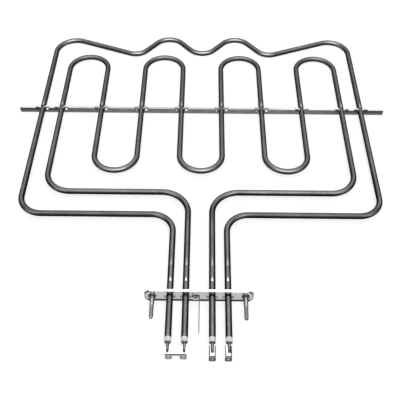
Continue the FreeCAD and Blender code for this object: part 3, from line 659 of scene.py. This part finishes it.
def tube(name, bends, material):
    """A hollow tube along the route, whose points carry the measures that its material reads."""
    mesh = bmesh.new()
    layers = [mesh.verts.layers.float.new(measure) for measure in ("along", "around", "crown", "bent")]
    travelled = 0
    before = None
    rings = []
    for point, side, outer, bent in tube_stations(bends):
        if before:
            travelled += (point - before).length
        before = point
        pair = []
        for radius in (outer, SHEATH_BORE):
            ring = []
            for k in range(TUBE_SIDES):
                angle = math.tau * k / TUBE_SIDES
                lift = Vector((0, 0, radius * math.sin(angle)))
                vertex = mesh.verts.new(point + side * radius * math.cos(angle) + lift)
                around = abs(k - TUBE_SIDES / 2) / TUBE_SIDES
                for layer, value in zip(layers, (travelled, around, math.sin(angle), bent)):
                    vertex[layer] = value
                ring.append(vertex)
            pair.append(ring)
        rings.append(pair)
    for (outer_a, inner_a), (outer_b, inner_b) in zip(rings, rings[1:]):
        for k in range(TUBE_SIDES):
            n = (k + 1) % TUBE_SIDES
            mesh.faces.new((outer_a[k], outer_b[k], outer_b[n], outer_a[n]))
            mesh.faces.new((inner_a[n], inner_b[n], inner_b[k], inner_a[k]))
    for (outer, inner), flip in ((rings[0], False), (rings[-1], True)):
        for k in range(TUBE_SIDES):
            n = (k + 1) % TUBE_SIDES
            corners = (outer[k], outer[n], inner[n], inner[k])
            mesh.faces.new(corners[::-1] if flip else corners)
    return finish_mesh(name, mesh, material)


def make_sheaths():
    material = oxidised_steel()
    for loop, bends in (("outer", outer_bends()), ("inner", inner_bends())):
        piece = tube(loop + "_sheath_tube", bends, material)
        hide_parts(loop + "_sheath")


def thread_rows(lead, tip_radius):
    """Rows of (radius, y) round the thread and its tapered tip, one row for each quarter of the pitch."""
    length = THREAD_START - STUD_TIP_Y
    steps = len(THREAD_WAVE)
    run_in_length, flat_share = 2 * THREAD_PITCH, 0.6
    rows = []
    for j in range(int(length / THREAD_PITCH * steps) + steps + 1):
        row = []
        for i in range(STUD_SIDES):
            down = (j / steps - 1 + i / STUD_SIDES) * THREAD_PITCH
            y = THREAD_START - min(max(down, 0), length)
            run_in = min(1, max(down, 0) / run_in_length)
            deep = THREAD_WAVE[j % steps] * run_in
            limit = tip_radius + (THREAD_RADIUS - tip_radius) * min(1, (y - STUD_TIP_Y) / lead)
            row.append((max(min(THREAD_RADIUS - deep * THREAD_DEPTH, limit), NARROWEST), y))
        rows.append(row)
    return rows + [[(tip_radius * flat_share, STUD_TIP_Y)] * STUD_SIDES]


def stud(name, node, x, lead, tip_radius, material):
    """A stud turned about Y: riveted head, neck, collar, shoulder, cone, helical thread and tapered tip."""
    head = ((0, 3.4), (2.75, 3.4), (3.2, 2.95), (3.2, 2.5))
    neck_and_collar = ((2.2, 2.5), (2.2, 0), (3.75, 0), (3.75, -0.6))
    shoulder_and_cone = ((2.2, -0.6), (2.1, -0.7), (2.1, -8.8), (1.95, -10))
    profile = head + neck_and_collar + shoulder_and_cone
    plain = [[(radius * MM, y * MM)] * STUD_SIDES for radius, y in profile]
    mesh = bmesh.new()
    rings = []
    for row in plain + thread_rows(lead, tip_radius):
        ring = []
        for i, (radius, y) in enumerate(row):
            angle = math.tau * i / STUD_SIDES
            ring.append(mesh.verts.new((x + radius * math.cos(angle), y, radius * math.sin(angle))))
        rings.append(ring)
    for a, b in zip(rings, rings[1:]):
        for i in range(STUD_SIDES):
            n = (i + 1) % STUD_SIDES
            mesh.faces.new((a[i], a[n], b[n], b[i]))
    mesh.faces.new(rings[-1])
    mesh.faces.new(rings[0])
    bmesh.ops.remove_doubles(mesh, verts=mesh.verts, dist=0.005 * MM)
    bmesh.ops.dissolve_degenerate(mesh, edges=mesh.edges, dist=0.002 * MM)
    piece = finish_mesh(name, mesh, material, smooth=False)
    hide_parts(node)


def make_studs():
    """Two studs; the left one has the longer, sharper tip."""
    material = stud_steel()
    stud("threaded_stud_left", "stud_left", -STUD_X, 2.2 * MM, 0.7 * MM, material)
    stud("threaded_stud_right", "stud_right", STUD_X, 1.2 * MM, 1.3 * MM, material)


# Floor, lights and camera


def make_floor():
    """A pale sheet under the places that the element rests on; it glows for a camera and in reflections."""
    s = Shader("pale_floor")
    shade = s.ramp(s.noise(40, 2), [(0.3, (0.3, 0.3, 0.3)), (0.7, (0.32, 0.32, 0.32))])
    s.surface(shade, 0.9, 0)
    s.bsdf.inputs["Specular IOR Level"].default_value = 0
    path = s.add("ShaderNodeLightPath").outputs
    seen = s.most(path["Is Camera Ray"], path["Is Glossy Ray"], path["Is Transmission Ray"])
    level = s.ramp(s.reach(s.axis("X"), s.axis("Y")), [(0.3, 0.75), (1.0, 0.93)])
    s.bsdf.inputs["Emission Color"].default_value = (1, 1, 1, 1)
    s.link(s.times(seen, level), s.bsdf.inputs["Emission Strength"])
    mesh = bpy.data.meshes.new("floor")
    half = FLOOR_SIZE / 2
    corners = [(-half, -half, 0), (half, -half, 0), (half, half, 0), (-half, half, 0)]
    mesh.from_pydata(corners, [], [(0, 1, 2, 3)])
    mesh.materials.append(s.material)
    floor = bpy.data.objects.new("floor", mesh)
    bpy.context.collection.objects.link(floor)
    rise = FLOOR_CONTACT_FAR - FLOOR_CONTACT_NEAR
    floor.location = FLOOR_CONTACT_NEAR
    floor.rotation_euler = (math.atan2(rise.z, rise.y), 0, 0)


def area_light(name, place, target, size, watts):
    data = bpy.data.lights.new(name, "AREA")
    data.shape = "RECTANGLE"
    data.size, data.size_y = size
    data.energy = watts
    lamp = bpy.data.objects.new(name, data)
    lamp.location = place
    lamp.rotation_euler = (Vector(target) - Vector(place)).to_track_quat("-Z", "Y").to_euler()
    bpy.context.collection.objects.link(lamp)


def make_world():
    """Soft even light, which a camera and a reflection see as plain white."""
    world = bpy.data.worlds.new("studio")
    world.use_nodes = True
    tree = world.node_tree
    back = tree.nodes["Background"]
    back.inputs["Color"].default_value = (1, 1, 1, 1)
    path = tree.nodes.new("ShaderNodeLightPath")
    level = path.outputs["Is Camera Ray"]
    for ray in ("Is Glossy Ray", "Is Transmission Ray"):
        seen = tree.nodes.new("ShaderNodeMath")
        seen.operation = "MAXIMUM"
        tree.links.new(level, seen.inputs[0])
        tree.links.new(path.outputs[ray], seen.inputs[1])
        level = seen.outputs["Value"]
    strength = tree.nodes.new("ShaderNodeMapRange")
    strength.inputs["To Min"].default_value = WORLD_LIGHT
    strength.inputs["To Max"].default_value = 1
    tree.links.new(level, strength.inputs["Value"])
    tree.links.new(strength.outputs["Result"], back.inputs["Strength"])
    bpy.context.scene.world = world


def make_lights():
    area_light("overhead", (0.0, -0.1, 1.3), (0, 0.17, 0), (1.8, 2.3), 20)
    area_light("key", (0.2, -0.5, 1.15), (0, 0.2, 0), (0.25, 0.25), 3.5)
    area_light("back", (0.1, 1.3, 1.9), (0, 0.17, 0), (0.3, 0.3), 3)


def make_camera():
    data = bpy.data.cameras.new("camera")
    data.sensor_width = SENSOR_WIDTH
    data.lens = FOCAL_PIXELS * SENSOR_WIDTH / IMAGE_WIDTH
    data.clip_start = 0.01
    camera = bpy.data.objects.new("camera", data)
    cos_pitch, sin_pitch = math.cos(CAMERA_PITCH), math.sin(CAMERA_PITCH)
    cos_yaw, sin_yaw = math.cos(CAMERA_YAW), math.sin(CAMERA_YAW)
    forward = Vector((sin_yaw * cos_pitch, cos_yaw * cos_pitch, -sin_pitch))
    level = Vector((cos_yaw, -sin_yaw, 0))
    upright = level.cross(forward)
    right = level * math.cos(CAMERA_ROLL) + upright * math.sin(CAMERA_ROLL)
    up = upright * math.cos(CAMERA_ROLL) - level * math.sin(CAMERA_ROLL)
    rotation = Matrix((right, up, -forward)).transposed().to_4x4()
    camera.matrix_world = Matrix.Translation(CAMERA_PLACE) @ rotation
    bpy.context.collection.objects.link(camera)
    bpy.context.scene.camera = camera


make_camera()
make_sheaths()
make_studs()
dress_nodes()
make_floor()
make_world()
make_lights()
bpy.context.scene.view_settings.view_transform = "Standard"
